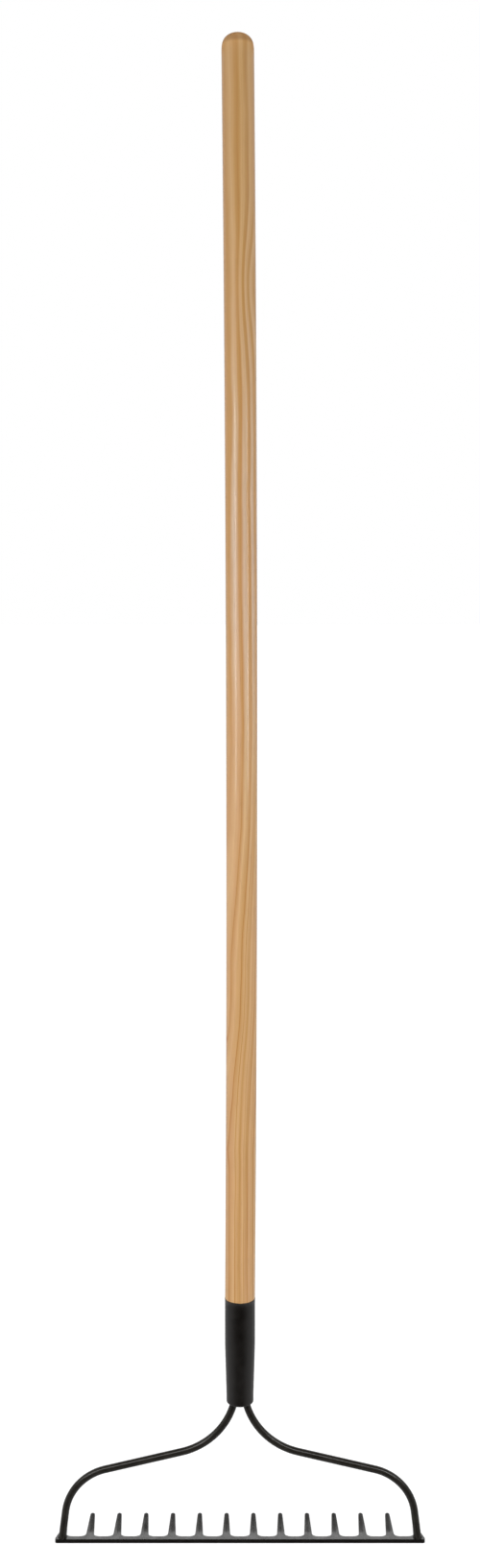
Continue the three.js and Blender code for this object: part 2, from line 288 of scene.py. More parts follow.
def make_handle():
    """The seat in the ferrule, a shoulder on its lip, the bent shaft and a rounded end."""
    dome_base = HANDLE_TOP - HANDLE_DOME
    shoulder = FERRULE_TOP + 0.1 * MM
    round_over = 0.35 * MM
    shaft_base = shoulder + 4 * round_over
    shaft_steps = 150
    foot = seat_radius(HANDLE_BOTTOM)
    wide = seat_radius(TAPER_TOP)
    profile = [
        (0, HANDLE_BOTTOM),
        (foot - HANDLE_CHAMFER, HANDLE_BOTTOM),
        (foot, HANDLE_BOTTOM + HANDLE_CHAMFER),
        *line_points((foot, TAPER_BOTTOM), (wide, TAPER_TOP), 6),
        *line_points((wide, TAPER_TOP), (wide, shoulder), 4),
        (wide, shoulder),
        *arc_points((HANDLE_RADIUS - round_over, shoulder + round_over), round_over, -90, 0, 4),
        *line_points((HANDLE_RADIUS, shaft_base), (HANDLE_RADIUS, dome_base), shaft_steps),
    ]
    dome_steps = 40
    for k in range(dome_steps + 1):
        rise = math.sin(math.pi / 2 * k / dome_steps)
        profile.append((dome_radius(rise), dome_base + HANDLE_DOME * rise))
    profile[-1] = (0, HANDLE_TOP)
    handle = add_object("ash_handle", lathe(profile, SHELL_SEGMENTS))
    for vertex in handle.data.vertices:
        vertex.co.x += handle_centre_x(vertex.co.z)
    bore_radius = ROD_RADIUS + TANG_BORE_PLAY
    bore_low = HANDLE_BOTTOM - 5 * MM
    bore_high = ROD_HIGH.z + 0.3 * MM
    bore = add_object("tang_bore", stadium(TANG_X, bore_radius, bore_low, bore_high), smooth=False)
    cut(handle, bore)
    sharpen(handle, 40)
    return handle


# ---- Ferrule ----


def make_ferrule():
    """The outer wall from its bottom up, a rolled lip, and the inner wall back down."""
    lip_radius = FERRULE_HIGH.y
    edge = 0.55 * MM
    inner_chamfer = 0.15 * MM
    corner = FERRULE_CORNER_RADIUS
    low = ferrule_radius(FERRULE_BOTTOM)
    low_inside = low - FERRULE_WALL
    inside = FERRULE_RADIUS - FERRULE_WALL
    lip_low = FERRULE_TOP - FERRULE_LIP_HEIGHT
    floor = FERRULE_BOTTOM + FERRULE_WALL
    inner_corner = corner - FERRULE_WALL
    outer = [
        (0, FERRULE_BOTTOM),
        (low / 2, FERRULE_BOTTOM),
        *arc_points((low - corner, FERRULE_BOTTOM + corner), corner, -90, 0, 8),
        *line_points((low, FERRULE_BOTTOM + 2 * corner), (low, TAPER_BOTTOM), 4),
        *line_points((low, TAPER_BOTTOM), (FERRULE_RADIUS, TAPER_TOP), 16),
        *line_points((FERRULE_RADIUS, TAPER_TOP), (FERRULE_RADIUS, lip_low), 12),
        (FERRULE_RADIUS, lip_low),
        (lerp(FERRULE_RADIUS, lip_radius, 0.5), lip_low + 0.25 * MM),
        (lip_radius, lip_low + 0.6 * MM),
    ]
    rim = arc_points((lip_radius - edge, FERRULE_TOP - edge), edge, 0, 90, 6)
    rim += [(inside + inner_chamfer, FERRULE_TOP), (inside, FERRULE_TOP - inner_chamfer)]
    inner = [
        *line_points((inside, FERRULE_TOP - 0.5 * MM), (inside, TAPER_TOP), 6),
        *line_points((inside, TAPER_TOP), (low_inside, TAPER_BOTTOM), 16),
        *line_points((low_inside, TAPER_BOTTOM), (low_inside, floor + inner_corner), 3),
        *arc_points((low - corner, floor + inner_corner), inner_corner, 0, -90, 4),
        (low / 2, floor),
        (0, floor),
    ]
    ferrule = add_object("ferrule_shell", lathe(outer + rim + inner, SHELL_SEGMENTS))
    hole_x = TANG_X + 0.2 * MM
    hole_radius = ROD_RADIUS + ROD_HOLE_PLAY
    through_bottom = stadium(hole_x, hole_radius, FERRULE_BOTTOM - 2 * MM, floor + 1 * MM)
    hole = add_object("rod_hole", through_bottom, smooth=False)
    radius = PIN_SHANK_RADIUS + PIN_BORE_PLAY
    reach = 4 * MM  # to both sides of the wall's outer face
    ends = [(0, -reach), (radius, -reach), (radius, reach), (0, reach)]
    turn = Matrix.Translation((0, FERRULE_RADIUS, PIN_HEIGHT)) @ Matrix.Rotation(math.pi / 2, 4, "X")
    bore = add_object("pin_bore", lathe(ends, 32, turn), smooth=False)
    cut(ferrule, hole, bore)
    sharpen(ferrule, 40)
    return ferrule


# ---- Bow rods ----


def rounded_corner(before, corner, after, radius, steps):
    """Points of the arc that rounds a corner, with the direction of the rod at each."""
    back = (before - corner).normalized()
    on = (after - corner).normalized()
    half = back.angle(on) / 2
    centre = corner + (back + on).normalized() * radius / math.sin(half)
    start = corner + back * radius / math.tan(half)
    end = corner + on * radius / math.tan(half)
    first = start - centre
    sweep = first.angle(end - centre)
    axis = first.cross(end - centre).normalized()
    points = []
    for k in range(steps + 1):
        turn = Matrix.Rotation(sweep * k / steps, 3, axis)
        points.append((centre + turn @ first, turn @ -back))
    return points


def straight_rod(start, end, steps):
    """Points between two ends of a straight, with the rod's direction at each."""
    direction = (end - start).normalized()
    return [(start.lerp(end, k / steps), direction) for k in range(1, steps)]


def rod_route(side):
    """The centre line of a rod from its tang to the bar, as points with directions."""

    def at(x, z):
        return Vector((side * x, 0, z))

    tang = at(TANG_X, TANG_TOP)
    neck = at(TANG_X, TANG_BEND_HEIGHT)
    shoulder = at(SHOULDER_BEND_X, SHOULDER_BEND_HEIGHT)
    foot = at(FOOT_X, BAR_THICKNESS)
    upper = rounded_corner(tang, neck, shoulder, TANG_BEND_RADIUS, 40)
    lower = rounded_corner(neck, shoulder, foot, SHOULDER_BEND_RADIUS, 40)
    top = [(tang, (neck - tang).normalized())]
    return (
        top
        + straight_rod(tang, upper[0][0], 12)
        + upper
        + straight_rod(upper[-1][0], lower[0][0], 16)
        + lower
        + straight_rod(lower[-1][0], foot, 10)
        + [(foot, (foot - shoulder).normalized())]
    )


def ring(bm, centre, direction, radius, segments):
    """A ring of vertices square to a direction in the XZ plane."""
    if radius < POINT_RADIUS:
        return [bm.verts.new(centre)]
    across = Vector((0, 1, 0))
    up = direction.cross(across)
    vertices = []
    for k in range(segments):
        angle = 2 * math.pi * k / segments
        outward = across * math.cos(angle) + up * math.sin(angle)
        vertices.append(bm.verts.new(centre + outward * radius))
    return vertices


def make_rod(name, side):
    """A round rod with a blunt point on its tang and a foot cut level on the bar."""
    segments = 32
    route = rod_route(side)
    point_length = ROD_HIGH.z - TANG_TOP
    bm = bmesh.new()
    rings = []
    for rise, width in TANG_POINT:
        centre = Vector((side * TANG_X, 0, TANG_TOP + point_length * rise))
        rings.append(ring(bm, centre, Vector((0, 0, -1)), ROD_RADIUS * width, segments))
    for centre, direction in route:
        rings.append(ring(bm, centre, direction, ROD_RADIUS, segments))
    direction = route[-1][1]
    for vertex in rings[-1]:
        vertex.co += direction * ((BAR_THICKNESS - vertex.co.z) / direction.z)
    join_rings(bm, rings)
    bm.faces.new(rings[-1])
    rod = add_object(name, bm)
    sharpen(rod, 50)
    return rod


# ---- Tine bar ----


def curve_points(start, control, end, steps):
    """Points of a quadratic curve, without its start."""
    points = []
    for k in range(1, steps + 1):
        t = k / steps
        a = start.lerp(control, t)
        b = control.lerp(end, t)
        points.append(a.lerp(b, t))
    return points


def tine_half_width(y):
    """Half of a tine's width, which narrows evenly from its root to the centre of its round tip."""
    share = clamp((y - FILLET_END) / (TIP_CENTRE - FILLET_END))
    return lerp(TINE_ROOT_WIDTH, TINE_TIP_WIDTH, share) / 2


def tine_points(centre, fillet_right, fillet_left):
    """One tine's outline, anticlockwise from the bar on its right to the bar on its left."""
    root = TINE_ROOT_WIDTH / 2
    tip = TINE_TIP_WIDTH / 2
    fillet_steps = 10
    flank_steps = 18
    arc_steps = 14
    points = []
    if fillet_right:
        start = Vector((centre + root + FILLET_ALONG, BAR_TOOTHED_EDGE))
        control = Vector((centre + root + FILLET_LEAN, BAR_TOOTHED_EDGE))
        end = Vector((centre + root, FILLET_END))
        points += [start, *curve_points(start, control, end, fillet_steps)]
    for k in range(1, flank_steps):
        y = lerp(FILLET_END, TIP_CENTRE, k / flank_steps)
        points.append(Vector((centre + tine_half_width(y), y)))
    for k in range(arc_steps + 1):
        angle = math.pi * k / arc_steps
        points.append(Vector((centre + tip * math.cos(angle), TIP_CENTRE + tip * math.sin(angle))))
    for k in range(1, flank_steps):
        y = lerp(TIP_CENTRE, FILLET_END, k / flank_steps)
        points.append(Vector((centre - tine_half_width(y), y)))
    if fillet_left:
        start = Vector((centre - root, FILLET_END))
        control = Vector((centre - root - FILLET_LEAN, BAR_TOOTHED_EDGE))
        end = Vector((centre - root - FILLET_ALONG, BAR_TOOTHED_EDGE))
        points += [start, *curve_points(start, control, end, fillet_steps)]
    return points


def bar_end_points(side):
    """The outline of one end of the bar, from its back edge to the flank of the end tine."""
    radius = BAR_CORNER_RADIUS
    corner_steps = 6
    points = []
    for k in range(corner_steps + 1):
        angle = math.radians(lerp(-90, 0, k / corner_steps))
        x = BAR_HALF - radius + radius * math.cos(angle)
        points.append(Vector((side * x, BAR_BACK_EDGE + radius + radius * math.sin(angle))))
    corner = Vector((side * BAR_HALF, BAR_BACK_EDGE + radius))
    edge = Vector((side * (BAR_HALF - 0.2 * MM), -0.2 * MM))
    flank_y = 13 * MM
    flank_x = TINE_SPAN / 2 + tine_half_width(flank_y)
    flank = Vector((side * flank_x, flank_y))
    control = Vector((side * (flank_x + 0.35 * MM), 9.5 * MM))
    points += curve_points(corner, corner.lerp(edge, 0.5), edge, 2)
    points += curve_points(edge, control, flank, 8)
    return points


def bar_outline():
    """The bar and its tines seen from above, anticlockwise."""
    right_end = bar_end_points(1)
    left_end = bar_end_points(-1)
    points = list(right_end)
    flank_start = right_end[-1].y + 0.5 * MM  # where an end tine's outer flank takes over
    for i in reversed(range(TINE_COUNT)):
        centre = -TINE_SPAN / 2 + i * TINE_PITCH
        tine = tine_points(centre, i < TINE_COUNT - 1, i > 0)
        if i == TINE_COUNT - 1:
            tine = [p for p in tine if p.x < centre or p.y > flank_start]
        if i == 0:
            tine = [p for p in tine if p.x > centre or p.y > flank_start]
        points += tine
    points += reversed(left_end)
    return points


def plate_thickness(y):
    """The plate's thickness, which falls from the bar's back edge to the tines' tips."""
    across = clamp((y - BAR_BACK_EDGE) / (TINE_ROOT_Y - BAR_BACK_EDGE))
    along = clamp((y - TINE_ROOT_Y) / (TINE_REACH - TINE_ROOT_Y))
    thinning = (TINE_ROOT_THICKNESS - TINE_TIP_THICKNESS) * along
    return lerp(BAR_THICKNESS, TINE_ROOT_THICKNESS, across) - thinning


def plate_rise(y):
    """How far the plate's underside stands off the floor, as the tines bend up."""
    along = clamp((y - FILLET_END) / (TINE_REACH - FILLET_END))
    return TINE_TIP_RISE * along**TINE_RISE_POWER


def slice_at(bm, axis, places):
    """Adds edge loops where planes square to an axis, at places along it, cross the mesh."""
    for place in places:
        geometry = bm.verts[:] + bm.edges[:] + bm.faces[:]
        point = axis * place
        bmesh.ops.bisect_plane(bm, geom=geometry, dist=0.01 * MM, plane_co=point, plane_no=axis)


def slice_plate(bm):
    """Cuts the flat outline into small faces, so that the plate can bend and crown."""
    bar_row = -1 * MM
    first_row = BAR_TOOTHED_EDGE + 0.05 * MM
    row_step = 2.2 * MM
    row_count = int((TIP_CENTRE - BAR_TOOTHED_EDGE) / row_step) + 1
    rows = [first_row + k * row_step for k in range(row_count)]
    slice_at(bm, Vector((0, 1, 0)), [bar_row, *rows])
    beside = 1.25 * MM  # from a tine's centre line to the lines on each side of it
    lines = [-TINE_SPAN / 2 + k * TINE_PITCH / 2 for k in range(2 * TINE_COUNT - 1)]
    lines += [x + offset for x in lines[::2] for offset in (-beside, beside)]
    slice_at(bm, Vector((1, 0, 0)), sorted(lines))


def tine_offset(x):
    """How far a place is from the nearest tine's centre, in half widths of a tine."""
    nearest = round((x + TINE_SPAN / 2) / TINE_PITCH) * TINE_PITCH - TINE_SPAN / 2
    return min(1.0, abs(x - nearest) / (TINE_ROOT_WIDTH / 2))


def is_rim(edge):
    """Whether an edge is between a level face and an upright one."""
    level = [abs(face.normal.z) > 0.5 for face in edge.link_faces]
    return len(level) == 2 and level[0] != level[1]


def make_bar():
    """The outline drawn flat, thickened, rounded at its edges, and then bent and crowned."""
    bm = bmesh.new()
    bm.faces.new([bm.verts.new((p.x, p.y, 0)) for p in bar_outline()])
    bm.normal_update()
    slice_plate(bm)
    made = bmesh.ops.extrude_face_region(bm, geom=bm.faces[:])
    for item in made["geom"]:
        if isinstance(item, bmesh.types.BMVert):
            item.co.z = BAR_THICKNESS
    bmesh.ops.recalc_face_normals(bm, faces=bm.faces)
    bmesh.ops.bevel(
        bm,
        geom=[edge for edge in bm.edges if is_rim(edge)],
        offset=BAR_EDGE_ROUND,
        offset_type="OFFSET",
        segments=4,
        profile=0.5,
        affect="EDGES",
        clamp_overlap=True,
    )
    crown_start = 4 * MM
    crown_run = 8 * MM
    wave_start = 6 * MM
    wave_height = 0.12 * MM
    wave_scale = 60
    for vertex in bm.verts:
        x, y, z = vertex.co
        up = z / BAR_THICKNESS
        crown = TINE_CROWN * tine_offset(x) ** 2 * clamp((y - crown_start) / crown_run)
        wave = wave_height * noise.noise(Vector((x * wave_scale, y * wave_scale, 3.1)))
        wave *= clamp(y / wave_start - 1)
        vertex.co.z = up * (plate_thickness(y) - crown) + plate_rise(y) + wave
    bar = add_object("toothed_bar", bm)
    even_normals(bar)
    return bar


# ---- Welds and pin ----


def make_foot_weld(name, side):
    """A rippled fillet of weld round the back of a rod's foot, thinning out at both ends."""
    lean = math.atan2(FOOT_X - SHOULDER_BEND_X, SHOULDER_BEND_HEIGHT - BAR_THICKNESS)
    width = WELD_HIGH.y - ROD_RADIUS
    height = WELD_HIGH.z - BAR_THICKNESS
    width_share = 0.94  # leaves room for the ripples in the CAD weld's box
    height_share = 0.86
    sweep = math.radians(200)
    stations = 72
    section_steps = 10
    ripple_count = 11
    taper_rate = 2.5  # it is at its full size after a fifth of the way
    thinnest = 0.06
    sunk_in_rod = -0.5 * MM
    sunk_in_bar = -0.2 * MM
    bm = bmesh.new()
    rings = []
    for k in range(stations + 1):
        share = k / stations
        turn = math.pi / 2 + sweep * (share - 0.5)
        from_end = min(share, 1 - share)
        taper = max(thinnest, math.sin(math.pi * clamp(from_end * taper_rate, 0, 0.5)))
        wave = math.sin(share * 2 * math.pi * ripple_count)
        ripple = 1 + 0.07 * wave + 0.05 * noise.noise(Vector((share * 9, side, 0.4)))
        reach = width * taper * ripple * width_share
        rise = height * taper * ripple * height_share
        # The section is a quarter round from the bar up to the rod, sunk a little in both
        section = [(sunk_in_rod, sunk_in_bar)]
        for j in range(section_steps + 1):
            angle = math.pi / 2 * j / section_steps
            bulge = 0.86 + 0.14 * math.sin(2 * angle)
            section.append((reach * math.cos(angle) * bulge, rise * math.sin(angle) * bulge))
        section.append((sunk_in_rod, rise))
        section[1] = (reach, sunk_in_bar)
        ring_vertices = []
        for out, up in section:
            radius = ROD_RADIUS + out
            x = side * (FOOT_X - math.tan(lean) * up) + radius * math.cos(turn)
            ring_vertices.append(bm.verts.new((x, radius * math.sin(turn), BAR_THICKNESS + up)))
        rings.append(ring_vertices)
    join_rings(bm, rings)
    bm.faces.new(rings[0])
    bm.faces.new(rings[-1])
    return add_object(name, bm)


def make_tang_weld(name, face):
    """A rippled bead in the groove between the two tangs."""
    centre_y = (TANG_WELD_LOW.y + TANG_WELD_HIGH.y) / 2
    radius = (TANG_WELD_HIGH.y - TANG_WELD_LOW.y) / 2
    low = TANG_WELD_LOW.z
    high = TANG_WELD_HIGH.z
    stations = 80
    ripple_count = 12
    ripple_depth = 0.06
    profile = []
    for k in range(stations + 1):
        height = lerp(low, high, k / stations)
        from_end = min(height - low, high - height)
        dome = math.sqrt(max(0.0, 1 - (1 - clamp(from_end / radius)) ** 2))
        ripple = 1 - ripple_depth * abs(math.sin(k / stations * math.pi * ripple_count))
        profile.append((radius * dome * ripple, height))
    profile[0] = (0, low)
    profile[-1] = (0, high)
    weld = add_object(name, lathe(profile, 28))
    for vertex in weld.data.vertices:
        vertex.co.y += face * centre_y
    return weld


def make_pin():
    """A drive pin with a low domed head, pointed at its inner end."""
    seat = FERRULE_RADIUS
    shank = PIN_SHANK_RADIUS
    inner_end = PIN_LOW.y
    head_radius = (PIN_HIGH.x - PIN_LOW.x) / 2
    dome_height = PIN_HIGH.y - seat
    edge = 0.3 * MM
    profile = [
        (0, inner_end),
        (0.25 * MM, inner_end + 0.2 * MM),
        (shank * 0.9, inner_end + PIN_POINT * 0.9),
        (shank, inner_end + PIN_POINT * 1.15),
        *line_points((shank, inner_end + PIN_POINT * 1.3), (shank, seat), 6),
        (shank, seat - 0.9 * MM),
        (head_radius - edge, seat - 0.25 * MM),
        (head_radius, seat + edge),
    ]
    steps = 16
    for k in range(1, steps + 1):
        angle = math.pi / 2 * k / steps
        height = seat + edge + (dome_height - edge) * math.sin(angle)
        profile.append((head_radius * math.cos(angle), height))
    profile[-1] = (0, PIN_HIGH.y)
    turn = Matrix.Translation((0, 0, PIN_HEIGHT)) @ Matrix.Rotation(-math.pi / 2, 4, "X")
    pin = add_object("drive_pin", lathe(profile, 48, turn))
    sharpen(pin, 50)
    return pin


# ---- Material helpers ----


def add_node(tree, kind, inputs=None, **properties):
    """A new node. Its inputs, by name or by number, are values or sockets to link."""
    node = tree.nodes.new(kind)
    for name, value in properties.items():
        setattr(node, name, value)
    for key, value in (inputs or {}).items():
        if isinstance(value, bpy.types.NodeSocket):
            tree.links.new(value, node.inputs[key])
        else:
            node.inputs[key].default_value = value
    return node


class Nodes:
    """A material's node tree, with short calls to add and link nodes."""

    def __init__(self, name):
        self.material = bpy.data.materials.new(name)
        self.material.use_nodes = True
        self.tree = self.material.node_tree
        self.shader = self.tree.nodes["Principled BSDF"]

    def set(self, **values):
        """Sets the shader's own sockets, written with _ for spaces."""
        for name, value in values.items():
            self.shader.inputs[name.replace("_", " ")].default_value = value

    def feed(self, socket, source):
        self.tree.links.new(source, self.shader.inputs[socket])

    def add(self, kind, inputs=None, **properties):
        return add_node(self.tree, kind, inputs, **properties)

    def place(self, scale=(1, 1, 1), offset=(0, 0, 0)):
        """Object coordinates, scaled and moved."""
        source = self.add("ShaderNodeTexCoord").outputs["Object"]
        inputs = {"Vector": source, "Scale": scale, "Location": offset}
        return self.add("ShaderNodeMapping", inputs).outputs["Vector"]

    def math(self, operation, a, b=0.0, clamped=False):
        inputs = {0: a, 1: b}
        return self.add("ShaderNodeMath", inputs, operation=operation, use_clamp=clamped).outputs[0]

    def multiply(self, first, *others):
        for other in others:
            first = self.math("MULTIPLY", first, other)
        return first

    def total(self, first, *others):
        for other in others:
            first = self.math("ADD", first, other)
        return first

    def noise(self, place, detail, roughness=0.5, scale=1.0):
        inputs = {"Vector": place, "Scale": scale, "Detail": detail, "Roughness": roughness}
        return self.add("ShaderNodeTexNoise", inputs).outputs["Fac"]

    def ramp(self, value, stops):
        """A ramp of greys from (place, grey) stops."""
        node = self.add("ShaderNodeValToRGB", {"Fac": value})
        elements = node.color_ramp.elements
        while len(elements) < len(stops):
            elements.new(0.5)
        for element, (place, grey) in zip(elements, stops):
            element.position = place
            element.color = (grey, grey, grey, 1)
        return node.outputs["Color"]

    def mix(self, share, a, b):
        """Mixes two colours, each a socket or linear (red, green, blue)."""
        a, b = ((*colour, 1) if isinstance(colour, tuple) else colour for colour in (a, b))
        return self.add("ShaderNodeMix", {0: share, 6: a, 7: b}, data_type="RGBA").outputs[2]

    def map_range(self, value, places, levels):
        """Goes evenly from one level to the other between two places, and stays level outside."""
        inputs = dict(enumerate((value, *places, *levels)))
        return self.add("ShaderNodeMapRange", inputs).outputs[0]

    def bump(self, height, distance, strength, normal=None):
        inputs = {"Height": height, "Distance": distance, "Strength": strength}
        if normal is not None:
            inputs["Normal"] = normal
        return self.add("ShaderNodeBump", inputs).outputs["Normal"]


def rgb(red, green, blue):
    """A colour given as 0 to 255 sRGB, as the linear one that shaders take."""
    linear = []
    for value in (red, green, blue):
        share = value / 255
        linear.append(share / 12.92 if share <= 0.04045 else ((share + 0.055) / 1.055) ** 2.4)
    return tuple(linear)


# ---- Materials ----

WOOD_LIGHT = rgb(208, 171, 121)
WOOD_DARK = rgb(186, 139, 82)
WOOD_PINK = rgb(200, 152, 112)
WOOD_LINE = rgb(170, 107, 36)
WOOD_PORE = rgb(118, 82, 48)
# Painted sheen: a paler, greyer wood colour for where the lacquer reflects the lights, about the
# middle of the handle
WOOD_SHEEN_GREY = rgb(204, 178, 154)
# Painted shade: a darker, browner wood colour for the top of the handle, where the light falls off
WOOD_TOP_SHADE = rgb(150, 114, 60)
PAINT_DUST = rgb(80, 76, 72)

RING_SPACING = 4.7 * MM
RING_START = 8.4 * MM  # moves the rings sideways, to where the photograph has them
RING_TURN = 0.4  # how far the rings lean as they go through the handle
WANDER = 16 * MM  # slow, along the whole handle
WOBBLE = 4.8 * MM  # quick
RUNOUT = 17 * MM  # towards the ferrule

# The grain's bends: the height of each, its reach along the handle and its push on the rings
KNOT = (1.315, 0.05, 10.5 * MM)
ARCH = (0.585, 0.07, -3 * MM)
SWAY = (0.93, 0.22, -3 * MM)
# Where the painted sheen lies: the height and reach of the paler, greyer stretch
SHEEN_STRETCH = (1.05, 0.19)  # height and reach

CROWN_FULL = HANDLE_TOP - 9 * MM
CROWN_EDGE = HANDLE_TOP - 12 * MM
LACQUER_EDGE = HANDLE_TOP - 24 * MM


def hump(n, value, centre, reach):
    """A smooth bump of height 1 about a centre."""
    away = n.math("DIVIDE", n.math("SUBTRACT", value, centre), reach)
    return n.math("POWER", math.e, n.multiply(away, away, -1.0))


def bend(n, z, centre, reach, push):
    """A sideways push on the grain about a height."""
    return n.multiply(hump(n, z, centre, reach), push)


def random_push(n, scale, offset, detail, amount):
    """An irregular sideways push on the grain, as far to one side as to the other."""
    signed = n.math("SUBTRACT", n.noise(n.place(scale, offset), detail), 0.5)
    return n.multiply(signed, amount)


def ring_coordinate(n, x, y, z):
    """Distance across the growth rings, which wander, run out of the side and pass a hidden knot."""
    right_half = n.map_range(x, (-6 * MM, 9 * MM), (0.0, 1.0))
    return n.total(
        x,
        n.multiply(y, RING_TURN),
        random_push(n, (11, 11, 1.9), (3.1, 0.4, 0.7), 1.0, WANDER),
        random_push(n, (40, 40, 9.0), (0.2, 5.3, 1.9), 2.0, WOBBLE),
        n.map_range(z, (0.78, 0.44), (0.0, RUNOUT)),
        n.multiply(bend(n, z, *KNOT), right_half),
        bend(n, z, *ARCH),
        bend(n, z, *SWAY),
    )


def ring_lines(n, rings, z):
    """Where rings start with a dark line, and how dark the wood is for it.

    Each ring starts with an abrupt dark line and fades, and some rings are darker than others.
    Towards the ferrule some of them also have a thin dark line.
    """
    within = n.math("FRACT", rings)
    number = n.math("FLOOR", rings)
    white = n.add("ShaderNodeTexWhiteNoise", {"W": number}, noise_dimensions="1D")
    chance = white.outputs["Value"]
    line = n.ramp(within, [(0.0, 0.1), (0.06, 1.0), (0.16, 0.42), (0.45, 0.12), (1.0, 0.0)])
    patches = n.noise(n.place((60, 60, 5.0), (1, 6, 2)), detail=3.0)
    ring_share = n.map_range(chance, (0.1, 1.0), (0.25, 0.75))
    patch_share = n.map_range(patches, (0.35, 0.62), (0.35, 1.0))
    broad = n.multiply(ring_share, patch_share, line)

    thin_line = n.ramp(within, [(0.0, 0.0), (0.07, 1.0), (0.2, 0.0)])
    some_rings = n.map_range(chance, (0.35, 0.6), (0.0, 0.5))
    low_down = n.map_range(z, (0.84, 0.72), (0.0, 1.0))
    thin = n.multiply(thin_line, some_rings, low_down)
    return line, n.math("ADD", broad, thin, clamped=True)


def ring_paleness(n, rings, across, z):
    """Every second ring is paler. The contrast comes and goes along the wood."""
    swing = n.math("COSINE", n.multiply(rings, math.pi))
    come_and_go = n.noise(n.place((30, 30, 3.5), (5, 2, 9)), detail=1.0)
    contrast = n.map_range(come_and_go, (0.35, 0.65), (0.35, 0.75))
    contrast = n.multiply(contrast, n.map_range(z, (1.0, 0.86), (1.3, 0.5)))
    along = n.multiply(z, 0.012)
    streaks = n.add("ShaderNodeCombineXYZ", {0: across, 1: along}).outputs[0]
    grain = n.map_range(n.noise(streaks, detail=3.0, scale=260), (0.3, 0.7), (0.2, 0.75))
    return n.math("SUBTRACT", grain, n.multiply(swing, contrast), clamped=True)


def wood_material():
    """Ash, sawn so that the rings show as long streaks, under a thin satin lacquer."""
    n = Nodes("lacquered_ash")
    x, y, z = n.add("ShaderNodeSeparateXYZ", {"Vector": n.place()}).outputs
    across = ring_coordinate(n, x, y, z)
    rings = n.math("DIVIDE", n.total(across, RING_START), RING_SPACING)
    line, darkness = ring_lines(n, rings, z)
    pale = ring_paleness(n, rings, across, z)
    hue = n.noise(n.place((70, 70, 3.0), (2, 8, 4)), detail=2.0)
    fibre = n.noise(n.place((1500, 1500, 26)), detail=4.0, roughness=0.6)
    pore_noise = n.noise(n.place((1100, 1100, 70), (7, 3, 1)), detail=2.0)
    pores = n.ramp(pore_noise, [(0.62, 0.0), (0.74, 1.0)])

    # Painted sheen: the wood is paler and greyer about the height where the lacquer reflects the
    # lights
    sheen_pale = n.mix(hump(n, z, *SHEEN_STRETCH), WOOD_LIGHT, WOOD_SHEEN_GREY)
    tone = n.mix(pale, WOOD_DARK, sheen_pale)
    tone = n.mix(n.map_range(hue, (0.42, 0.62), (0.0, 0.35)), tone, WOOD_PINK)
    tone = n.mix(darkness, tone, WOOD_LINE)
    tone = n.mix(n.multiply(pores, 0.16), tone, WOOD_PORE)
    tone = n.mix(n.map_range(fibre, (0.3, 0.7), (0.14, 0.0)), tone, WOOD_PORE)

    # The wood is darker and browner towards the top end, a painted shade where the light falls off
    # there, and end grain crowns it
    top_shade = n.map_range(z, (0.95, 1.5), (0.0, 0.5))
    tone = n.mix(top_shade, tone, WOOD_TOP_SHADE)
    crown = n.map_range(z, (CROWN_EDGE, CROWN_FULL), (0.0, 0.55))
    n.feed("Base Color", n.mix(crown, tone, WOOD_PORE))

    # The lacquer thins out to nothing up the rounded end
    bare = n.map_range(z, (LACQUER_EDGE, CROWN_EDGE), (0.0, 1.0))
    satin = n.map_range(fibre, (0.25, 0.75), (0.46, 0.36))
    n.feed("Roughness", n.total(satin, n.multiply(bare, 0.3)))
    n.feed("Coat Weight", n.map_range(bare, (0.0, 1.0), (0.6, 0.0)))
    n.set(Specular_IOR_Level=0.3, Coat_Roughness=0.11, Coat_IOR=1.48)
    grain_bump = n.bump(fibre, 0.12 * MM, 0.5)
    n.feed("Normal", n.bump(line, 0.2 * MM, 0.4, grain_bump))
    return n.material


def paint_material(name, base, roughness, gloss=0.4, speckle=0.1):
    """Black paint on steel: a slightly orange-peeled film with a little mottling and dust."""
    n = Nodes(name)
    peel = n.noise(n.place((520, 520, 520)), detail=2.0)
    mottle = n.noise(n.place((95, 95, 95), (4, 1, 2)), detail=4.0, roughness=0.6)
    grit = n.noise(n.place((2600, 2600, 2600)), detail=1.0)
    pale = tuple(c * 1.6 + 0.001 for c in base)
    tone = n.mix(n.map_range(mottle, (0.35, 0.7), (0.0, 1.0)), base, pale)
    dust = n.map_range(grit, (0.66, 0.78), (0.0, speckle * 0.5))
    n.feed("Base Color", n.mix(dust, tone, PAINT_DUST))
    n.feed("Roughness", n.map_range(mottle, (0.3, 0.7), (roughness - 0.05, roughness + 0.07)))
    n.set(Specular_IOR_Level=gloss)
    fine = n.bump(grit, 0.04 * MM, 0.5)
    n.feed("Normal", n.bump(peel, 0.1 * MM, 0.5, fine))
    return n.material


def steel_material(name, base, roughness):
    """Dull bare steel with fine scratches and darker stains."""
    n = Nodes(name)
    stain = n.noise(n.place((260, 260, 260)), detail=5.0, roughness=0.65)
    scratch = n.noise(n.place((4200, 4200, 500)), detail=2.0)
    dull = tuple(c * 0.55 for c in base)
    n.feed("Base Color", n.mix(n.map_range(stain, (0.35, 0.65), (0.0, 1.0)), base, dull))
    n.feed("Roughness", n.map_range(scratch, (0.3, 0.7), (roughness - 0.1, roughness + 0.1)))
    n.set(Metallic=1.0)
    n.feed("Normal", n.bump(stain, 0.15 * MM, 0.5))
    return n.material


# ---- The rake ----


def finish_piece(piece, material, slot, *nodes):
    """Gives a piece its material, and says which body and nodes it stands for. The slot is not used.
    """
    piece.data.materials.clear()
    piece.data.materials.append(material)
    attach(piece, "root")
    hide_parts(*nodes)


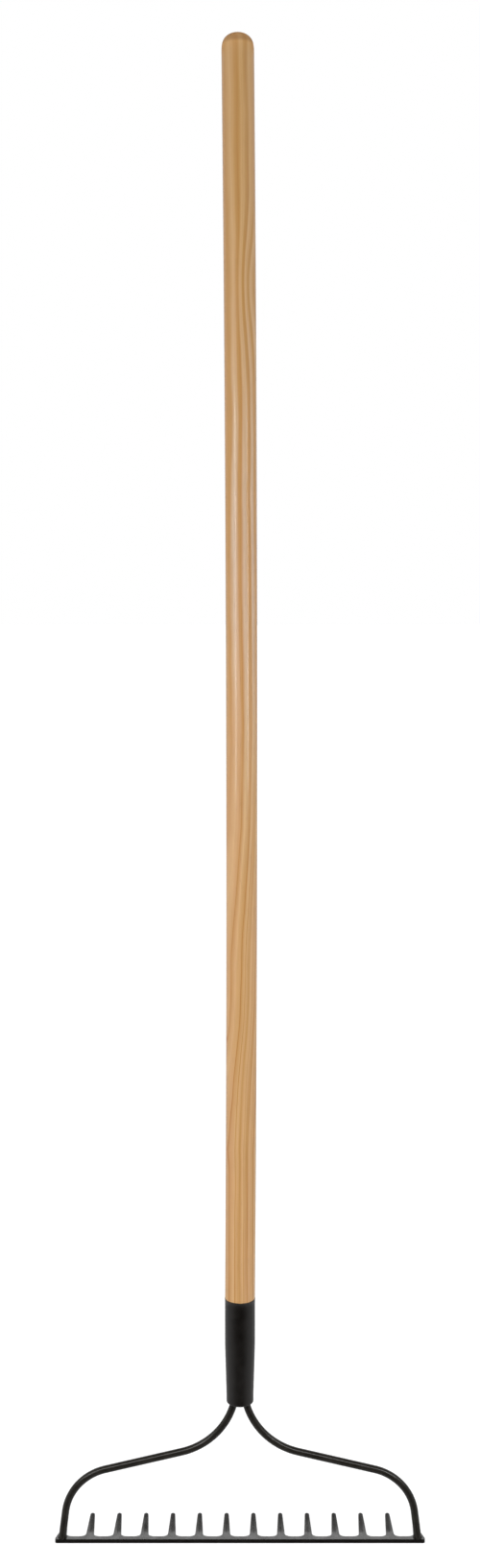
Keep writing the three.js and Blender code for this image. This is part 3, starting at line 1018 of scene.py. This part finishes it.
def build_rake():
    """The ten pieces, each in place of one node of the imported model."""
    wood = wood_material()
    ferrule_paint = paint_material("ferrule_paint", rgb(11, 8, 6), 0.34, speckle=0.05)
    rod_paint = paint_material("rod_paint", rgb(27, 25, 22), 0.17, gloss=0.25)
    bar_paint = paint_material("bar_paint", rgb(9, 7, 5), 0.23, gloss=0.45, speckle=0.12)
    weld_paint = paint_material("weld_paint", rgb(10, 9, 9), 0.35, gloss=0.45)
    weld_steel = steel_material("weld_steel", rgb(120, 116, 112), 0.5)
    pin_steel = steel_material("pin_steel", rgb(150, 150, 152), 0.38)

    finish_piece(make_handle(), wood, "handle_wood", "handle")
    finish_piece(make_ferrule(), ferrule_paint, "ferrule_paint", "ferrule")
    finish_piece(make_pin(), pin_steel, "pin_steel", "ferrule_pin")
    finish_piece(make_bar(), bar_paint, "bar_paint", "tine_bar")
    for name, side in (("left", -1), ("right", 1)):
        rod = make_rod("bow_" + name, side)
        finish_piece(rod, rod_paint, "rod_paint", "bow_rod_" + name)
        weld = make_foot_weld("foot_weld_" + name, side)
        finish_piece(weld, weld_paint, "weld_paint", "bow_weld_" + name)
    for name, face in (("front", -1), ("back", 1)):
        bead = make_tang_weld("tang_bead_" + name, face)
        finish_piece(bead, weld_steel, "weld_steel", "tang_weld_" + name)


# ---- Camera, floor and light ----

BACKDROP_STRENGTH = 2.4
PANEL_STRENGTH = 13.0


def add_camera():
    """The photograph's view: from in front, a little above the middle of the handle."""
    data = bpy.data.cameras.new("camera")
    data.sensor_width = 36
    data.lens = 39.5
    camera = bpy.data.objects.new("camera", data)
    camera.location = (0, -1.7384, 1.0406)
    camera.rotation_euler = (math.radians(82.85), 0, 0)
    scene.collection.objects.link(camera)
    scene.camera = camera


def add_floor():
    """A wide pale floor under the bar. It is darker as a source of light than to the camera."""
    bm = bmesh.new()
    half = 30
    height = -0.2 * MM
    corners = ((-half, -half), (half, -half), (half, half), (-half, half))
    bm.faces.new([bm.verts.new((x, y, height)) for x, y in corners])
    floor = add_object("floor", bm, smooth=False)
    n = Nodes("pale_floor")
    n.set(Base_Color=(0.2, 0.2, 0.2, 1), Roughness=1.0, Specular_IOR_Level=0.0)
    n.set(Emission_Color=(1, 1, 1, 1), Emission_Strength=0.9)
    dim = n.add("ShaderNodeBsdfDiffuse", {"Color": (0.5, 0.5, 0.5, 1)})
    seen = n.add("ShaderNodeLightPath").outputs["Is Camera Ray"]
    choose = n.add("ShaderNodeMixShader", {0: seen, 1: dim.outputs[0], 2: n.shader.outputs[0]})
    n.tree.links.new(choose.outputs[0], n.tree.nodes["Material Output"].inputs["Surface"])
    floor.data.materials.append(n.material)
    floor.visible_glossy = False


def add_area(name, place, aim, size, power, serves):
    """A rectangular softbox that the camera doesn't see, for diffuse or for glossy light."""
    data = bpy.data.lights.new(name, "AREA")
    data.shape = "RECTANGLE"
    data.size, data.size_y = size
    data.energy = power
    light = bpy.data.objects.new(name, data)
    light.location = place
    light.rotation_euler = (Vector(aim) - Vector(place)).to_track_quat("-Z", "Y").to_euler()
    light.visible_camera = False
    light.visible_glossy = serves == "glossy"
    light.visible_diffuse = serves == "diffuse"
    scene.collection.objects.link(light)


def polar(azimuth, distance, height):
    """A place seen from the handle's axis, with azimuth 0 towards the camera and 90 to the right."""
    angle = math.radians(azimuth)
    return (distance * math.sin(angle), -distance * math.cos(angle), height)


def add_lights():
    """Two narrow boxes for the glints on the handle, and three wide ones for its even light."""
    middle = (0, 0, 0.95)
    add_area("softbox_left", polar(-42, 1.7, 0.98), middle, (0.13, 0.8), 4.2, "glossy")
    add_area("softbox_right", polar(48, 1.7, 0.98), middle, (0.16, 0.8), 3.6, "glossy")
    add_area("front_fill", (0, -3.4, 0.1), (0, 0, 0.1), (3.2, 3.6), 16, "diffuse")
    add_area("side_left", polar(-68, 2.2, 0.6), (0, 0, 0.6), (1.2, 3.0), 24, "diffuse")
    add_area("side_right", polar(68, 2.2, 0.6), (0, 0, 0.6), (1.2, 3.0), 14, "diffuse")


def add_world():
    """White for the camera. For light, a dim room with a bright low backdrop and a ceiling panel."""
    world = bpy.data.worlds.new("studio")
    world.use_nodes = True
    tree = world.node_tree
    tree.nodes.clear()

    def smooth(value, places, levels):
        inputs = dict(enumerate((value, *places, *levels)))
        node = add_node(tree, "ShaderNodeMapRange", inputs, interpolation_type="SMOOTHSTEP")
        return node.outputs[0]

    def combine(operation, a, b):
        return add_node(tree, "ShaderNodeMath", {0: a, 1: b}, operation=operation).outputs[0]

    def background(strength):
        inputs = {"Color": (1, 1, 1, 1), "Strength": strength}
        return add_node(tree, "ShaderNodeBackground", inputs).outputs[0]

    # A direction's parts: towards the back of the room from -1 to 1, and up
    direction = add_node(tree, "ShaderNodeTexCoord").outputs["Generated"]
    _, back, up = add_node(tree, "ShaderNodeSeparateXYZ", {0: direction}).outputs

    # The room is nearly dark on the camera's side, and dimmer overhead
    behind = smooth(back, (-0.92, -0.25), (0.02, 0.6))
    under_ceiling = smooth(up, (0.45, 0.7), (1.0, 0.2))
    room = combine("MULTIPLY", behind, under_ceiling)
    ground = smooth(up, (-0.5, -0.64), (0.0, 0.2))

    # The backdrop is a level band behind the rake
    band_top = smooth(up, (0.47, 0.57), (1.0, 0.0))
    band_foot = smooth(up, (0.3, 0.44), (0.0, 1.0))
    band = combine("MULTIPLY", band_top, band_foot)
    backdrop = combine("MULTIPLY", smooth(back, (0.35, 0.8), (0.0, BACKDROP_STRENGTH)), band)

    # The ceiling panel is a band across X, in front of the rake and high above it
    slope = combine("DIVIDE", back, combine("MAXIMUM", up, 0.01))
    near_edge = smooth(slope, (-1.02, -0.88), (0.0, 1.0))
    far_edge = smooth(slope, (-0.62, -0.76), (0.0, 1.0))
    panel = combine("MULTIPLY", near_edge, far_edge)
    panel = combine("MULTIPLY", panel, smooth(up, (0.25, 0.45), (0.0, PANEL_STRENGTH)))

    strength = combine("ADD", combine("ADD", room, ground), combine("ADD", backdrop, panel))
    seen = add_node(tree, "ShaderNodeLightPath").outputs["Is Camera Ray"]
    inputs = {0: seen, 1: background(strength), 2: background(1.0)}
    choose = add_node(tree, "ShaderNodeMixShader", inputs)
    add_node(tree, "ShaderNodeOutputWorld", {"Surface": choose.outputs[0]})
    scene.world = world


add_camera()
build_rake()
add_floor()
add_lights()
add_world()
scene.view_settings.view_transform = "Standard"
